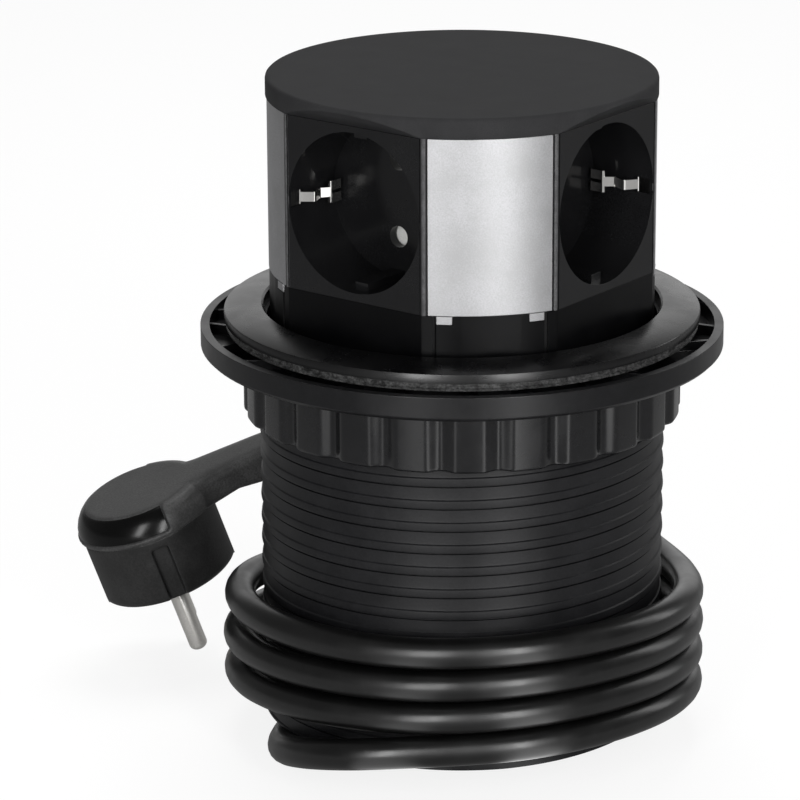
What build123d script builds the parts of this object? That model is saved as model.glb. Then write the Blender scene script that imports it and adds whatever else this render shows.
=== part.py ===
from build123d import *
import math
import os

os.makedirs("parts", exist_ok=True)

# Pop up desk socket: a tower with four earthed sockets that slides up out of a threaded barrel,
# with its mains lead wound round the barrel for storage.
# Heights are worked out from the desk line, the underside of the seal, and the whole part is
# lifted when it is written, so that the origin is on the barrel's axis under the foot.
# The sockets face -Y (front), +X (right), +Y (back) and -X (left).

# General fits and cuts
overrun = 1.0
running_gap = 0.1
slip_gap = 0.2
bore_gap = 0.05

# Sockets: their size sets the tower's, and the tower's sets the barrel's
recess_r = 19.5
recess_depth = 17.5
cup_wall = 1.4
cup_floor_t = 2.4
cup_gap = 2.1
plate_t = 2.7
plate_margin = 0.33
plate_margin_top = 1.65
plate_margin_foot = 2.0
pin_spacing = 19.0
pin_hole_r = 2.65
key_w = 3.8
key_h = 1.9
key_start = 3.0
bead_w = 1.3
bead_groove = 0.35
notch_w = 3.8
notch_top = 0.9
notch_h = 5.0
notch_cut = 1.0

# Barrel, through the desk
tower_gap = 0.74
barrel_wall = 2.0
barrel_depth = 98.6
guide_slot_w = 8.0
guide_slot_cut = 1.2
guide_slot_top = 2.0
guide_slot_end = 84.0
cover_boss_r = 3.2
cover_boss_h = 11.0
cover_boss_inset = 3.0
cover_boss_count = 3
cover_boss_turn = 30.0

# Bezel flange and seal, on top of the desk
flange_reach = 8.45
flange_hole_gap = 0.8
flange_edge_h = 2.2
flange_rise = 1.3
flange_round = 0.7
flange_lip = 1.3
seal_inset = 0.45
seal_h = 2.1

# Bottom cover with the cable hood and foot
cover_t = 3.0
hood_r = 24.0
hood_taper = 1.6
hood_drop = 9.4
hood_wall = 2.0
screw_shank_r = 1.45
screw_head_r = 2.8
screw_head_h = 2.0
screw_grip = 8.0

# Clamp ring and clamp nut, under the desk
ring_span = 9.7
ring_rim_w = 2.25
ring_rim_top = 0.4
ring_h = 6.0
ring_floor_t = 2.2
ring_hub_w = 1.9
ring_hub_drop = 0.4
ring_bore_gap = 0.4
ring_round = 1.0
gusset_t = 1.2
gusset_drop = 1.0
gusset_count = 12
gusset_lean = 24.0
nut_h = 16.1
nut_wall = 3.55
nut_lobes = 24
nut_scallop_r = 4.6
nut_scallop_cut = 1.6
nut_bore_gap = 0.35
nut_round = 1.1

# Tower: lid and skirt foot
face_foot = 15.0
top_cover_lip = 0.34
top_cover_edge_t = 0.9
top_cover_h = 4.85
top_cover_round = 0.8
top_skin_t = 2.2
coil_recess_r = 26.0

# Tower: base that slides in the barrel
base_inset = 0.06
base_drop = 20.0
base_wall = 2.2
deck_t = 3.0
lug_w = 7.4
lug_h = 8.0
lug_gap = 0.2
rail_offset = 11.0
rail_w = 3.7
rail_proud = 0.5
rail_groove_w = 0.9
rail_groove_cut = 0.8
tab_h = 2.0
tab_gap = 0.1

# Tower: aluminium panels and the posts behind them
panel_t = 1.15
panel_gap = 0.15
post_gap = 0.17
tower_screw_r = 1.5

# Earth clips
clip_t = 0.6
clip_arm_w = 2.4
clip_head_w = 5.4
clip_split = 0.8
clip_reach = 2.9
clip_bow = 2.5
clip_dip = 1.1
clip_bow_share = 0.39
clip_dip_share = 0.6
clip_head_share = 0.74
clip_floor_gap = 0.9

# Shutters
shutter_t = 1.2
shutter_gap = 0.5
shutter_w = 7.3
shutter_len = 26.4
shutter_hub_r = 5.0
pivot_r = 2.0
spring_wire = 0.4
spring_r = 2.9

# Contact core, sleeves and bus bars
core_arm_w = 14.4
core_cap = 1.35
core_foot_w = 13.0
core_gap = 2.4
core_bore_r = 4.0
sleeve_r = 3.15
sleeve_wall = 0.7
sleeve_len = 12.6
sleeve_slit = 0.8
bus_tab_w = 3.0
bus_tab_t = 0.7
bus_inner_r = 9.6
bus_outer_r = 14.4
bus_t = 0.8
board_w = 34.0
board_t = 1.6
board_gap = 0.2
board_part_w = 8.0
board_part_h = 1.5
charge_outer_r = 21.0
charge_inner_r = 9.0
charge_t = 1.3
ferrite_r = 23.0
ferrite_t = 0.8

# Mains lead: size, winding and lie. The lie has its own frame, turned from that of the sockets,
# with the lead's front where the winding is highest.
lay_turn = 36.6
cord_r = 3.85
wind_gap = 6.0
wind_shift = 0.75
wind_pitch = 8.35
wind_quarters = 13
wind_start = 91.42
wind_tilt = 4.7
wind_sway = 0.9
bend_share = 0.45
fold_run = 15.0
rise_run = 17.5
lead_points = [
    (-25.0, 1.5, -103.4),
    (-36.0, -1.5, -103.4),
    (-44.5, -11.5, -103.4),
    (-46.8, -25.0, -103.2),
    (-43.5, -38.0, -99.5),
    (-33.5, -49.5, -94.6),
]
rise_points = [
    (48.5, 43.0, -65.5),
    (33.5, 56.5, -57.5),
    (15.0, 63.5, -49.5),
    (-3.0, 64.8, -44.0),
]

# Strain relief where the lead leaves the hood
gland_r = 4.35
gland_tip_r = 4.2
gland_len = 20.0
gland_collar_r = 4.4
gland_collar_h = 1.6

# Plug on the lead's end
plug_spot = (-76.5, 50.0, -85.6)
plug_lean = 20.6
plug_yaw = 11.2
drum_r = 18.7
drum_across = 35.5
drum_h = 15.0
drum_round = 2.2
drum_key_w = 4.4
drum_key_cut = 2.0
boot_r = 19.1
boot_rim_h = 2.0
boot_h = 9.4
boot_top_r = 16.9
boot_belly = 6.0
boot_round = 1.4
neck_root_x = 11.0
neck_root_w = 27.0
neck_root_top_w = 19.0
neck_root_aside = 0.6
neck_mid_x = 36.0
neck_mid_w = 17.5
neck_mid_h = 8.0
neck_mid_aside = 1.2
neck_tip_x = 50.0
neck_tip_w = 9.6
neck_tip_h = 9.4
neck_corner = 2.5
band_t = 0.9
band_inset = 0.35
band_h = 6.0
band_half_angle = 76.0
plug_pin_r = 2.4
plug_pin_len = 19.0
plug_pin_root = 6.0
plug_pin_root_r = 1.9
plug_pin_stand = 0.2
plug_pin_nose = 1.6
plug_earth_w = 7.0
plug_earth_t = 0.7
plug_earth_h = 10.0

# Sizes and places worked out from the values above
cup_r = recess_r + cup_wall
floor_back = cup_r + cup_gap
face_dist = floor_back + cup_floor_t + recess_depth
face_half_w = recess_r + plate_margin
plate_half_w = face_half_w + bead_w
socket_lift = face_foot + plate_margin_foot + recess_r
cover_foot = socket_lift + recess_r + plate_margin_top
cover_top = cover_foot + top_cover_h
tower_r = math.sqrt(face_dist**2 + face_half_w**2)
top_cover_r = tower_r + top_cover_lip
base_r = tower_r - base_inset
base_top = face_foot - running_gap
deck_foot = base_top - deck_t
panel_inner_r = tower_r - panel_t
post_r = panel_inner_r - running_gap
post_edge = plate_half_w + post_gap
post_screw_dist = (post_edge * math.sqrt(2) + post_r) / 2
core_reach = floor_back - core_gap
pin_offset = pin_spacing / 2
core_half_h = pin_offset + sleeve_r + core_cap
core_top = socket_lift + core_half_h
core_foot = socket_lift - core_half_h
ferrite_foot = cover_top - top_skin_t - charge_t - ferrite_t
board_foot = ferrite_foot - board_gap - board_part_h - board_t
barrel_inner_r = tower_r + tower_gap
barrel_r = barrel_inner_r + barrel_wall
slot_r = barrel_inner_r + guide_slot_cut
lift = barrel_depth + hood_drop
flange_hole_r = barrel_inner_r + flange_hole_gap
flange_r = barrel_r + flange_reach
flange_top_edge = seal_h + flange_edge_h
flange_top = flange_top_edge + flange_rise
seal_r = flange_r - seal_inset
ring_bore_r = barrel_r + ring_bore_gap
ring_rim_inner_r = ring_bore_r + ring_hub_w + ring_span
ring_rim_r = ring_rim_inner_r + ring_rim_w
ring_foot = ring_rim_top - ring_h
nut_bore_r = barrel_r + nut_bore_gap
nut_crest_r = nut_bore_r + nut_wall
nut_valley_r = nut_crest_r - nut_scallop_cut
nut_top = ring_foot - running_gap
nut_foot = nut_top - nut_h
hood_foot_r = hood_r - hood_taper
wind_r = barrel_r + wind_gap

SIDES = {"front": 0, "right": 90, "back": 180, "left": 270}
CORNERS = {"front_right": 0, "back_right": 90, "back_left": 180, "front_left": 270}


def put(node, shape):
    """Write one piece, lifted from the desk line to its height over the foot."""
    export_step(Pos(0, 0, lift) * shape, "parts/" + node + ".step")


def spin_profile(points):
    """A full turn about Z of a closed outline given as (radius, height) points."""
    outline = [(r, 0, z) for r, z in points]
    return revolve(make_face(Polyline(*outline, close=True)), axis=Axis.Z)


def tube(outer, inner, foot, top):
    """A plain ring about Z, from one height to another."""
    return spin_profile([(inner, foot), (outer, foot), (outer, top), (inner, top)])


def rod(radius, foot, top):
    """A plain round bar about Z, from one height to another."""
    return Pos(0, 0, foot) * Cylinder(radius, top - foot, align=(Align.CENTER, Align.CENTER, Align.MIN))


def block(width, depth, foot, top):
    """A box centred on Z, from one height to another."""
    centred = (Align.CENTER, Align.CENTER, Align.MIN)
    return Pos(0, 0, foot) * Box(width, depth, top - foot, align=centred)


def around(count, shape):
    """Copies of a shape, evenly spaced about Z."""
    return [Rot(0, 0, 360 * i / count) * shape for i in range(count)]


# Housing
def bezel_flange():
    outline = [
        (flange_hole_r, seal_h),
        (flange_r, seal_h),
        (flange_r, flange_top_edge),
        (flange_hole_r + flange_lip, flange_top),
        (flange_hole_r, flange_top),
    ]
    ring = spin_profile(outline)
    outer_top = ring.edges().filter_by(GeomType.CIRCLE).sort_by(lambda e: (e.radius, e.center().Z))[-1]
    return fillet(outer_top, flange_round)


def seal_ring():
    return tube(seal_r, barrel_r + slip_gap, 0, seal_h)


def cover_boss_places():
    spots = []
    for i in range(cover_boss_count):
        turn = math.radians(cover_boss_turn + 360 * i / cover_boss_count)
        reach = barrel_inner_r - cover_boss_inset
        spots.append((reach * math.cos(turn), reach * math.sin(turn)))
    return spots


def barrel():
    shell = tube(barrel_r, barrel_inner_r, -barrel_depth, seal_h)
    boss_foot = -barrel_depth + cover_t
    for x, y in cover_boss_places():
        boss = Pos(x, y, 0) * rod(cover_boss_r, boss_foot, boss_foot + cover_boss_h)
        shell += boss & rod(barrel_r - barrel_wall / 2, boss_foot, boss_foot + cover_boss_h)
        shell -= Pos(x, y, 0) * rod(screw_shank_r + bore_gap, boss_foot - overrun, boss_foot + screw_grip)
    slot_mid = (slot_r + tower_r) / 2
    slot = Pos(slot_mid, 0, 0) * block(slot_r - tower_r, guide_slot_w, -guide_slot_end, -guide_slot_top)
    shell -= [Rot(0, 0, 45) * s for s in around(4, slot)]
    return shell


def gland_plane():
    """Where the lead starts, looking back along it into the hood."""
    first, second = (Vector(*lie(p)) for p in lead_points[:2])
    return Plane(first, z_dir=first - second)


def bottom_cover():
    plate = rod(barrel_inner_r - slip_gap, -barrel_depth, -barrel_depth + cover_t)
    hood = spin_profile([
        (0, -lift),
        (hood_foot_r, -lift),
        (hood_r, -barrel_depth),
        (0, -barrel_depth),
    ])
    hollow = rod(hood_foot_r - hood_wall, -lift + hood_wall, -barrel_depth + cover_t + overrun)
    cover = plate + hood - hollow
    for x, y in cover_boss_places():
        cover -= Pos(x, y, 0) * rod(screw_shank_r + slip_gap, -lift, -barrel_depth + cover_t + overrun)
        cover -= Pos(x, y, 0) * rod(screw_head_r + slip_gap, -lift, -barrel_depth + screw_head_h)
    port = gland_plane() * Cylinder(gland_collar_r + bore_gap, gland_len,
                                    align=(Align.CENTER, Align.CENTER, Align.MIN))
    return cover - port


def cover_screws():
    head_foot = -barrel_depth + slip_gap
    head_top = -barrel_depth + screw_head_h
    screw = rod(screw_head_r, head_foot, head_top)
    screw += rod(screw_shank_r, head_top, -barrel_depth + cover_t + screw_grip - overrun)
    return Compound(children=[Pos(x, y, 0) * screw for x, y in cover_boss_places()])


# Clamp under the desk
def clamp_ring():
    floor_top = ring_foot + ring_floor_t
    cup = spin_profile([
        (ring_bore_r, ring_foot),
        (ring_rim_r - ring_round, ring_foot),
        (ring_rim_r, ring_foot + ring_round),
        (ring_rim_r, ring_rim_top),
        (ring_rim_inner_r, ring_rim_top),
        (ring_rim_inner_r, floor_top),
        (ring_bore_r + ring_hub_w, floor_top),
        (ring_bore_r + ring_hub_w, -ring_hub_drop),
        (ring_bore_r, -ring_hub_drop),
    ])
    middle = ring_rim_inner_r - ring_span / 2
    length = ring_span / math.cos(math.radians(gusset_lean)) + 2 * gusset_t
    foot = floor_top - ring_floor_t / 2
    gusset = block(length, gusset_t, foot, -gusset_drop)
    step = 360 / gusset_count / 4
    pair = [Rot(0, 0, s * step) * Pos(middle, 0, 0) * Rot(0, 0, -s * gusset_lean) * gusset for s in (1, -1)]
    keep = tube(ring_rim_inner_r + ring_rim_w / 2, ring_bore_r + ring_hub_w / 2, foot, -gusset_drop)
    ribs = [g & keep for rib in pair for g in around(gusset_count, rib)]
    return cup + ribs


def clamp_nut():
    collar = spin_profile([
        (nut_bore_r, nut_foot),
        (nut_crest_r - nut_round, nut_foot),
        (nut_crest_r, nut_foot + nut_round),
        (nut_crest_r, nut_top),
        (nut_bore_r, nut_top),
    ])
    scallop = Pos(nut_valley_r + nut_scallop_r, 0, 0) * rod(nut_scallop_r, nut_foot - overrun, nut_top + overrun)
    return collar - around(nut_lobes, scallop)


# Tower
def tower_plan(radius, flat, foot, top):
    """The tower's plan: round under the panels, with four flats under the sockets."""
    return rod(radius, foot, top) & block(2 * flat, 2 * flat, foot, top)


def tower_base():
    flat = face_dist - running_gap
    base = tower_plan(base_r, flat, -base_drop, base_top)
    base -= tower_plan(base_r - base_wall, flat - base_wall, -base_drop - overrun, deck_foot)
    lug_r = slot_r - slip_gap
    lug_root = base_r - base_wall / 2
    lug_top = -guide_slot_top - lug_gap
    lug = Pos((lug_r + lug_root) / 2, 0, 0) * block(lug_r - lug_root, lug_w, lug_top - lug_h, lug_top)
    rail_r = base_r - rail_proud
    middle_w = 2 * rail_offset - rail_w
    channel = Pos(rail_r + base_r / 2, 0, 0) * block(base_r, middle_w, 0, base_top + overrun)
    groove_y = rail_offset + (rail_w + rail_groove_w) / 2
    groove_r = math.sqrt(base_r**2 - groove_y**2) - rail_groove_cut
    groove = block(base_r, rail_groove_w, 0, base_top + overrun)
    seat_inner = panel_inner_r - panel_gap
    seat = block(base_r, rail_w + 2 * tab_gap, base_top - tab_h - tab_gap, base_top + overrun)
    outside = tube(base_r + overrun, seat_inner, -base_drop, base_top + overrun)
    for turn in (45, 135, 225, 315):
        spot = Rot(0, 0, turn)
        base += spot * lug
        base -= spot * channel & tube(base_r + overrun, rail_r, 0, base_top + overrun)
        for side in (1, -1):
            base -= spot * Pos(groove_r + base_r / 2, side * groove_y, 0) * groove
            base -= (spot * Pos(base_r, side * rail_offset, 0) * seat) & outside
        base -= spot * Pos(post_screw_dist, 0, 0) * rod(tower_screw_r + slip_gap, deck_foot - overrun, base_top + overrun)
    return base - rod(core_bore_r, deck_foot - overrun, base_top + overrun)


def top_cover():
    disc = rod(top_cover_r, cover_foot, cover_top)
    disc = fillet(disc.edges().filter_by(GeomType.CIRCLE).group_by(Axis.Z)[-1], top_cover_round)
    lean = math.degrees(math.atan2(top_cover_h - top_cover_edge_t, top_cover_r - face_dist))
    under = Box(2 * top_cover_r, 2 * top_cover_h, 2 * top_cover_h, align=(Align.CENTER, Align.MAX, Align.MAX))
    disc -= around(4, Pos(0, -face_dist, cover_foot) * Rot(-lean, 0, 0) * under)
    disc -= rod(coil_recess_r, cover_foot - overrun, cover_top - top_skin_t)
    for turn in (45, 135, 225, 315):
        disc -= Rot(0, 0, turn) * Pos(post_screw_dist, 0, 0) * rod(tower_screw_r + bore_gap, cover_foot - overrun,
                                                                 cover_top - top_skin_t)
    return disc


def corner_post():
    """The moulded post behind one panel, between two sockets."""
    side = post_r - post_edge
    middle = (post_r + post_edge) / 2
    post = Pos(middle, -middle, 0) * block(side, side, face_foot, cover_foot - running_gap)
    post &= rod(post_r, face_foot, cover_foot)
    screw = Rot(0, 0, -45) * Pos(post_screw_dist, 0, 0)
    return post - screw * rod(tower_screw_r + slip_gap, face_foot - overrun, cover_foot + overrun)


def panel():
    """One curved aluminium panel with its two tabs, between the front and right sockets."""
    top = cover_foot - running_gap
    ring = tube(tower_r, panel_inner_r, face_foot, top)
    edge = plate_half_w + panel_gap
    side = tower_r - edge
    middle = (tower_r + edge) / 2
    sheet = ring & Rot(0, 0, 45) * Pos(middle, -middle, 0) * block(side, side, face_foot, top)
    tab_foot = base_top - tab_h
    for side in (1, -1):
        spot = Pos(tower_r, side * rail_offset, 0)
        tab = spot * block(tower_r, rail_w, tab_foot, face_foot + overrun)
        sheet += tab & tube(base_r, panel_inner_r, tab_foot, face_foot + overrun)
    return Rot(0, 0, -45) * sheet


# Sockets: each is drawn in its own frame, x to the side, y up and z out of the face
socket_plane = Plane(origin=(0, -face_dist, socket_lift), x_dir=(1, 0, 0), z_dir=(0, -1, 0))


def sunk(shape, depth):
    """A shape whose top face lies at a depth below the socket's face."""
    return Pos(0, 0, -depth) * shape


def socket_body():
    low = (Align.CENTER, Align.CENTER, Align.MAX)
    up = cover_foot - running_gap - socket_lift
    down = socket_lift - face_foot
    plate = Pos(0, (up - down) / 2, 0) * Box(2 * plate_half_w, up + down, plate_t, align=low)
    body = plate + Cylinder(cup_r, recess_depth + cup_floor_t, align=low)
    body -= Pos(0, 0, overrun) * Cylinder(recess_r, recess_depth + overrun, align=low)
    key = sunk(Box(key_w, key_h + cup_wall / 2, recess_depth - key_start, align=low), key_start)
    key_y = recess_r - key_h / 2 + cup_wall / 4
    for side in (1, -1):
        body += Pos(0, side * key_y, 0) * key
        hole = sunk(Cylinder(pin_hole_r, cup_floor_t + 2 * overrun, align=low), recess_depth - overrun)
        body -= Pos(0, side * pin_offset, 0) * hole
        notch = sunk(Box(2 * notch_cut, notch_w, notch_h, align=low), notch_top)
        body -= Pos(side * recess_r, 0, 0) * notch
        groove = Pos(0, (up - down) / 2, overrun) * Box(bead_groove, up + down, bead_groove + overrun, align=low)
        body -= Pos(side * (face_half_w - bead_groove / 2), 0, 0) * groove
    placed = socket_plane * body
    return placed & rod(tower_r, face_foot - overrun, cover_foot)


def earth_clips():
    """The pair of sprung earth clips, hooked in the notches at the mouth of one recess."""
    root_x = recess_r + notch_cut - running_gap - clip_t / 2
    root_top = notch_top + running_gap
    root_foot = notch_top + notch_h - running_gap - 2 * clip_t
    knee = recess_depth * clip_head_share
    head_x = recess_r - clip_reach
    head_foot = recess_depth - clip_floor_gap
    path = FilletPolyline(
        (root_x, 0, -root_top),
        (root_x, 0, -root_foot),
        (recess_r - clip_bow, 0, -recess_depth * clip_bow_share),
        (recess_r - clip_dip, 0, -recess_depth * clip_dip_share),
        (head_x, 0, -knee),
        (head_x, 0, -head_foot + clip_t),
        (head_x + clip_t, 0, -head_foot),
        radius=clip_t / 2,
    )
    band = Plane.XZ * trace(Plane.XZ.to_local_coords(path), clip_t)
    low = (Align.CENTER, Align.CENTER, Align.MAX)
    span = recess_depth - knee + clip_t
    head_box = sunk(Box(4 * clip_reach, clip_head_w, span, align=low), knee - clip_t)
    tab_box = sunk(Box(4 * clip_reach, notch_w, root_foot - root_top, align=low), root_top)
    split = sunk(Box(4 * clip_reach, clip_split, span, align=low), knee)
    clip = extrude(band, clip_arm_w / 2, both=True)
    clip += extrude(band, clip_head_w / 2, both=True) & Pos(head_x, 0, 0) * head_box
    clip += extrude(band, notch_w / 2 - running_gap, both=True) & Pos(root_x, 0, 0) * tab_box
    clip -= Pos(head_x, 0, 0) * split
    return Compound(children=[socket_plane * clip, socket_plane * Rot(0, 0, 180) * clip])


def shutter():
    depth = recess_depth + cup_floor_t + shutter_gap
    face = SlotOverall(shutter_len, shutter_w, rotation=90) + Circle(shutter_hub_r) - Circle(pivot_r + bore_gap)
    return socket_plane * sunk(extrude(face, -shutter_t), depth)


def shutter_spring():
    """The closed last turn of the torsion spring under one shutter."""
    ring = Torus(spring_r, spring_wire / 2)
    depth = face_dist - core_reach - spring_wire / 2
    return socket_plane * sunk(ring, depth)


def core_arm():
    arm = Pos(0, -core_reach / 2, 0) * block(core_arm_w, core_reach, core_foot, core_top)
    pivot = socket_plane * sunk(Cylinder(pivot_r, core_gap - running_gap, align=(Align.CENTER, Align.CENTER, Align.MAX)),
                                face_dist - floor_back + running_gap)
    return arm + pivot


def sleeve_seat(side):
    """The bore and the tab slot for one contact sleeve, above or below the socket's axis."""
    depth = sleeve_len + running_gap
    bore = sunk(Cylinder(sleeve_r + bore_gap, depth + overrun, align=(Align.CENTER, Align.CENTER, Align.MAX)),
                face_dist - core_reach - overrun)
    reach = core_half_h - pin_offset + overrun
    slot = Box(bus_tab_w + slip_gap, reach, bus_tab_t + slip_gap)
    slot_depth = face_dist - (bus_inner_r + bus_outer_r) / 2
    return Pos(0, side * pin_offset, 0) * (bore + Pos(0, side * reach / 2, -slot_depth) * slot)


def contact_core():
    core = core_arm()
    for turn in (90, 180, 270):
        core += Rot(0, 0, turn) * core_arm()
    core += block(core_foot_w, core_foot_w, face_foot, core_foot)
    core += block(core_foot_w, core_foot_w, core_top, board_foot)
    for turn in SIDES.values():
        for side in (1, -1):
            core -= Rot(0, 0, turn) * (socket_plane * sleeve_seat(side))
    return core - rod(core_bore_r, face_foot - overrun, core_foot + overrun)


def contacts():
    """The upper and lower contact sleeve of one socket, each with its tab to a bus bar."""
    low = (Align.CENTER, Align.CENTER, Align.MAX)
    start = face_dist - core_reach
    tab_depth = face_dist - (bus_inner_r + bus_outer_r) / 2
    reach = core_half_h - pin_offset
    pair = []
    for side in (1, -1):
        sleeve = sunk(Cylinder(sleeve_r, sleeve_len, align=low), start)
        tab = Pos(0, side * reach / 2, -tab_depth) * Box(bus_tab_w, reach, bus_tab_t)
        sleeve += tab
        sleeve -= sunk(Cylinder(sleeve_r - sleeve_wall, sleeve_len + overrun, align=low), start - overrun)
        slit = sunk(Box(2 * sleeve_r, sleeve_slit, sleeve_len / 2 + overrun, align=low), start - overrun)
        pair.append(socket_plane * Pos(0, side * pin_offset, 0) * (sleeve - Pos(sleeve_r, 0, 0) * slit))
    return Compound(children=pair)


def bus_bar(foot):
    return tube(bus_outer_r, bus_inner_r, foot, foot + bus_t)


def charger_board():
    top = board_foot + board_t
    board = block(board_w, board_w, board_foot, top)
    spot = board_w / 4
    for x, y in ((spot, spot), (-spot, spot), (spot, -spot)):
        board += Pos(x, y, 0) * block(board_part_w, board_part_w, top, top + board_part_h)
    return board


def tower_screws():
    head_foot = deck_foot - screw_head_h
    screw = rod(screw_head_r, head_foot, deck_foot) + rod(tower_screw_r, deck_foot, cover_top - top_skin_t - overrun)
    return Compound(children=[Rot(0, 0, 45) * s for s in around(4, Pos(post_screw_dist, 0, 0) * screw)])


# Mains lead
def lie(point):
    """A point of the lead's own frame, turned into the frame of the sockets."""
    turn = math.radians(lay_turn)
    x, y, z = point
    return (x * math.cos(turn) - y * math.sin(turn), x * math.sin(turn) + y * math.cos(turn), z)


def aim(yaw, rise):
    """A direction in the lead's frame, as degrees about Z from its right and degrees upwards."""
    yaw, rise = math.radians(yaw), math.radians(rise)
    return lie((math.cos(rise) * math.cos(yaw), math.cos(rise) * math.sin(yaw), math.sin(rise)))


def wind_point(turned):
    """A point of the winding and its direction, after so many degrees from its start in front."""
    a = math.radians(turned)
    spot = (
        wind_shift + wind_r * math.sin(a),
        -wind_r * math.cos(a),
        -wind_start + wind_pitch * turned / 360 - wind_tilt * (1 - math.cos(a)) - wind_sway * math.sin(a),
    )
    heading = (
        wind_r * math.cos(a),
        wind_r * math.sin(a),
        wind_pitch / math.tau - wind_tilt * math.sin(a) - wind_sway * math.cos(a),
    )
    return Vector(*lie(spot)), Vector(*lie(heading)).normalized()


def biarc(start, heading, end, last_heading):
    """Two tangent arcs from one point and direction to another."""
    gap = end - start
    both = heading + last_heading
    spread = 2 * (1 - heading.dot(last_heading))
    reach = (math.sqrt(gap.dot(both)**2 + spread * gap.dot(gap)) - gap.dot(both)) / spread
    knee = (start + end + (heading - last_heading) * reach) * 0.5
    return [
        TangentArc(start, knee, tangent=heading),
        TangentArc(end, knee, tangent=last_heading * -1),
    ]


def swept_tube(path, radius):
    """A round tube along a path that starts with a straight or an arc."""
    start = Plane(path @ 0, z_dir=path % 0)
    return sweep(start * Circle(radius), path=path)


def routed(points):
    """Straight runs joined by tangent arcs, each as large as its two runs allow."""
    spots = [Vector(*p) for p in points]
    radii = []
    for before, corner, after in zip(spots, spots[1:], spots[2:]):
        inward, outward = corner - before, after - corner
        half_turn = math.radians(inward.get_angle(outward)) / 2
        radii.append(bend_share * min(inward.length, outward.length) / math.tan(half_turn))
    return FilletPolyline(*spots, radius=radii), radii


def report_tube(name, shape, path, radii):
    ideal = math.pi * cord_r**2 * path.length
    print(name, "length", round(path.length, 1), "radii", [round(r, 1) for r in radii],
          "volume ratio", round(shape.volume / ideal, 4))


wind_end_turn = 90 * wind_quarters
wind_from, wind_from_heading = wind_point(0)
wind_to, wind_to_heading = wind_point(wind_end_turn)
stub = 2 * cord_r
coil_start = wind_from - wind_from_heading * stub
coil_end = wind_to + wind_to_heading * stub
plug_place = Plane(
    origin=lie(plug_spot),
    x_dir=aim(plug_yaw, plug_lean),
    z_dir=aim(plug_yaw, plug_lean + 90),
)
neck_mid_z = drum_h + boot_h / 2
neck_tip = plug_place.from_local_coords(Vector(neck_tip_x, 0, neck_mid_z))
neck_run = plug_place.from_local_coords(Vector(neck_tip_x + rise_run, 0, neck_mid_z))


def cord_coil():
    edges = [Line(coil_start, wind_from)]
    for quarter in range(wind_quarters):
        start, heading = wind_point(90 * quarter)
        end, last_heading = wind_point(90 * (quarter + 1))
        edges += biarc(start, heading, end, last_heading)
    edges.append(Line(wind_to, coil_end))
    path = Wire(edges)
    shape = swept_tube(path, cord_r)
    marks = [wind_point(5 * i)[0] for i in range(18 * wind_quarters + 1)]
    gaps = [(a - b).length - 2 * cord_r for i, a in enumerate(marks) for b in marks[i + 36:]]
    print("cord_coil least gap to itself", round(min(gaps), 2))
    report_tube("cord_coil", shape, path, [wind_r])
    return shape


def cord_lead():
    points = [lie(p) for p in lead_points]
    points += [coil_start - wind_from_heading * fold_run, coil_start]
    path, radii = routed(points)
    shape = swept_tube(path, cord_r)
    report_tube("cord_lead", shape, path, radii)
    return shape


def cord_rise():
    points = [coil_end, coil_end + wind_to_heading * rise_run]
    points += [lie(p) for p in rise_points]
    points += [neck_run, neck_tip]
    path, radii = routed(points)
    shape = swept_tube(path, cord_r)
    report_tube("cord_rise", shape, path, radii)
    return shape


def cord_gland():
    """The tapered strain relief: its tip is where the free lead starts, its root inside the hood."""
    cone = Cone(gland_tip_r, gland_r, gland_len, align=(Align.CENTER, Align.CENTER, Align.MIN))
    collar = Pos(0, 0, gland_len - gland_collar_h) * Cylinder(
        gland_collar_r, gland_collar_h, align=(Align.CENTER, Align.CENTER, Align.MIN))
    return gland_plane() * (cone + collar)


# Plug, drawn in its own frame: z from the pins to the back, x along its neck, y across its pins
def plug_drum():
    drum = rod(drum_r, 0, drum_h)
    drum = fillet(drum.edges().filter_by(GeomType.CIRCLE).group_by(Axis.Z)[0], drum_round)
    drum &= block(drum_across, 2 * drum_r, 0, drum_h)
    for side in (1, -1):
        drum -= Pos(0, side * drum_r, 0) * block(drum_key_w, 2 * drum_key_cut, -overrun, drum_h - drum_key_cut)
        drum -= Pos(0, side * pin_offset, 0) * rod(plug_pin_root_r + bore_gap, -overrun, plug_pin_root)
        drum -= Pos(side * drum_across / 2, 0, 0) * block(2 * plug_earth_t, plug_earth_w + slip_gap, -overrun,
                                                          plug_earth_h + running_gap)
    return plug_place * drum


def boot_cap(inset):
    """The round cover over the drum, with its bellied shoulder, so much smaller all round."""
    rim_top = drum_h + boot_rim_h
    low = (Align.CENTER, Align.CENTER, Align.MIN)
    cap = rod(boot_r - inset, drum_h, rim_top)
    cap += Pos(0, 0, rim_top) * Cone(boot_r - inset, boot_top_r - inset, boot_h - boot_rim_h, align=low)
    cap = fillet(cap.edges().filter_by(GeomType.CIRCLE).group_by(Axis.Z)[1], boot_belly)
    return fillet(cap.edges().filter_by(GeomType.CIRCLE).group_by(Axis.Z)[-1], boot_round)


def neck_section(x, foot_w, top_w, height, aside):
    """A cut across the neck, hung from the cover's flat back."""
    plane = Plane(origin=(x, aside, drum_h + boot_h), x_dir=(0, 1, 0), z_dir=(1, 0, 0))
    corners = [(-foot_w / 2, -height), (foot_w / 2, -height), (top_w / 2, 0), (-top_w / 2, 0)]
    face = Polygon(*corners, align=None)
    return plane * fillet(face.vertices(), neck_corner)


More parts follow.
